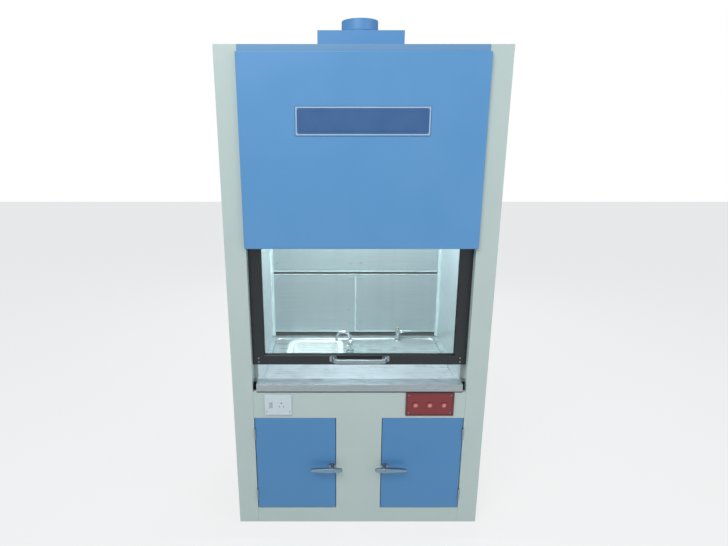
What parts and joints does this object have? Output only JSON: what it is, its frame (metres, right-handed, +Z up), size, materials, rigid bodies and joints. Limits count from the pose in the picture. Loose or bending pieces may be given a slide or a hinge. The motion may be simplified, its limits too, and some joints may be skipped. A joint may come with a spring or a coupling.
{
  "type": "fume hood",
  "caption": "Free-standing laboratory fume hood: counterbalanced glass sash, blue fascia, steel work chamber with sink, tap and gas cock, base cupboard with doors, duct collar on top.",
  "frame": {"origin": "centre of the bounding box in plan, on the floor", "axes": "+Z up, +X to the right of a user who faces the hood, +Y from the user towards its back; the front faces -Y"},
  "size_m": [1.2, 0.812, 2.41],
  "materials": {
    "pale_powder_coat": "fine satin powder coat, pale grey-green",
    "blue_powder_coat": "satin powder coat, mid blue",
    "deep_blue_plate": "satin enamel plate, deeper blue",
    "zinc_sheet": "zinc plated sheet, dull",
    "stainless_sheet": "brushed stainless sheet",
    "white_waste_plastic": "moulded polypropylene",
    "white_enamel": "gloss white enamel",
    "lamp_glass_white": "white coated lamp glass",
    "clear_glass": "clear toughened sheet glass",
    "steel_cable": "twisted steel wire",
    "red_enamel": "satin red enamel",
    "chrome_plate": "bright chrome plate",
    "white_moulding": "moulded white plastic",
    "copper_tube": "drawn copper tube, slightly dulled",
    "black_moulding": "moulded black plastic",
    "black_anodised_aluminium": "black anodised extrusion",
    "satin_steel": "satin steel",
    "bare_steel_bar": "oiled bare steel bar",
    "lit_red_moulding": "translucent red moulding"
  },
  "bodies": {
    "cabinet": {"left_side_panel": "pale_powder_coat", "right_side_panel": "pale_powder_coat", "rear_panels": "pale_powder_coat", "roof_panel": "pale_powder_coat", "fascia_panel": "blue_powder_coat", "fascia_plate": "deep_blue_plate", "base_front_frame": "pale_powder_coat", "base_runners": "zinc_sheet", "base_floor": "pale_powder_coat", "worktop_bearers": "zinc_sheet", "worktop": "stainless_sheet", "sink_bowl": "stainless_sheet", "sink_trap": "white_waste_plastic", "left_liner": "stainless_sheet", "right_liner": "stainless_sheet", "back_liner": "stainless_sheet", "ceiling_liner": "stainless_sheet", "lower_baffles": "stainless_sheet", "upper_baffle": "stainless_sheet", "baffle_brackets": "stainless_sheet", "exhaust_plenum": "blue_powder_coat", "exhaust_collar": "blue_powder_coat", "lamp_housing": "white_enamel", "lamp_tube": "lamp_glass_white", "lamp_glass": "clear_glass", "sash_tracks": "pale_powder_coat", "pulley_brackets": "zinc_sheet", "cable_spans": "steel_cable", "front_cables": "steel_cable", "rear_cables": "steel_cable", "control_plate": "red_enamel", "button_bezels": "chrome_plate", "rail_boxes": "zinc_sheet", "socket_plate": "white_moulding", "service_pipes": "copper_tube", "tap_body": "chrome_plate", "gas_cock": "chrome_plate", "cable_gland": "black_moulding", "panel_screws": "zinc_sheet", "frame_hinges": "chrome_plate"},
    "sash": {"sash_frame": "black_anodised_aluminium", "sash_glass": "clear_glass", "sash_handle": "satin_steel"},
    "counterweight": {"counterweight": "bare_steel_bar"},
    "front_pulleys": {"front_pulleys": "black_moulding"},
    "rear_pulleys": {"rear_pulleys": "black_moulding"},
    "left_door": {"left_door_shell": "blue_powder_coat", "left_door_pan": "blue_powder_coat", "left_door_fittings": "chrome_plate"},
    "right_door": {"right_door_shell": "blue_powder_coat", "right_door_pan": "blue_powder_coat", "right_door_fittings": "chrome_plate"},
    "left_latch": {"left_latch": "satin_steel"},
    "right_latch": {"right_latch": "satin_steel"},
    "push_button_1": {"push_button_1": "lit_red_moulding"},
    "push_button_2": {"push_button_2": "lit_red_moulding"},
    "push_button_3": {"push_button_3": "lit_red_moulding"},
    "socket_rocker": {"socket_rocker": "white_moulding"},
    "tap_handle": {"tap_handle": "chrome_plate"},
    "gas_lever": {"gas_lever": "chrome_plate"}
  },
  "joints": [
    {"name": "sash_slide", "type": "slide", "parent": "cabinet", "child": "sash", "axis": [0, 0, 1], "range_m": [-0.08, 0.52], "deforming": ["front_cables"]},
    {"name": "counterweight_slide", "type": "slide", "parent": "cabinet", "child": "counterweight", "axis": [0, 0, 1], "range_m": [-0.53, 0.09], "deforming": ["rear_cables"]},
    {"name": "front_pulley_turn", "type": "hinge", "parent": "cabinet", "child": "front_pulleys", "pos_m": [0, -0.284, 2.195], "axis": [1, 0, 0], "continuous": true},
    {"name": "rear_pulley_turn", "type": "hinge", "parent": "cabinet", "child": "rear_pulleys", "pos_m": [0, 0.318, 2.195], "axis": [1, 0, 0], "continuous": true},
    {"name": "left_door_swing", "type": "hinge", "parent": "cabinet", "child": "left_door", "pos_m": [-0.5033, -0.3683, 0.338], "axis": [0, 0, 1], "range_deg": [-110, 0]},
    {"name": "right_door_swing", "type": "hinge", "parent": "cabinet", "child": "right_door", "pos_m": [0.5033, -0.3683, 0.338], "axis": [0, 0, 1], "range_deg": [0, 110]},
    {"name": "left_latch_turn", "type": "hinge", "parent": "left_door", "child": "left_latch", "pos_m": [-0.128, -0.364, 0.328], "axis": [0, 1, 0], "range_deg": [-90, 0]},
    {"name": "right_latch_turn", "type": "hinge", "parent": "right_door", "child": "right_latch", "pos_m": [0.128, -0.364, 0.328], "axis": [0, 1, 0], "range_deg": [0, 90]},
    {"name": "push_button_1_press", "type": "slide", "parent": "cabinet", "child": "push_button_1", "axis": [0, 1, 0], "range_m": [0, 0.004], "stiffness_N_per_m": 600},
    {"name": "push_button_2_press", "type": "slide", "parent": "cabinet", "child": "push_button_2", "axis": [0, 1, 0], "range_m": [0, 0.004], "stiffness_N_per_m": 600},
    {"name": "push_button_3_press", "type": "slide", "parent": "cabinet", "child": "push_button_3", "axis": [0, 1, 0], "range_m": [0, 0.004], "stiffness_N_per_m": 600},
    {"name": "socket_rocker_tilt", "type": "hinge", "parent": "cabinet", "child": "socket_rocker", "pos_m": [-0.42, -0.367, 0.6655], "axis": [1, 0, 0], "range_deg": [-12, 0]},
    {"name": "tap_handle_turn", "type": "hinge", "parent": "cabinet", "child": "tap_handle", "pos_m": [-0.033, 0.016, 0.803], "axis": [0, 1, 0], "range_deg": [0, 90]},
    {"name": "gas_lever_turn", "type": "hinge", "parent": "cabinet", "child": "gas_lever", "pos_m": [0.246, 0.202, 0.833], "axis": [0, 0, 1], "range_deg": [0, 90]}
  ],
  "couplings": [
    {"joint": "counterweight_slide", "follows": "sash_slide", "ratio": -1},
    {"joint": "front_pulley_turn", "follows": "sash_slide", "rad_per_m": -33.333},
    {"joint": "rear_pulley_turn", "follows": "sash_slide", "rad_per_m": -33.333}
  ]
}
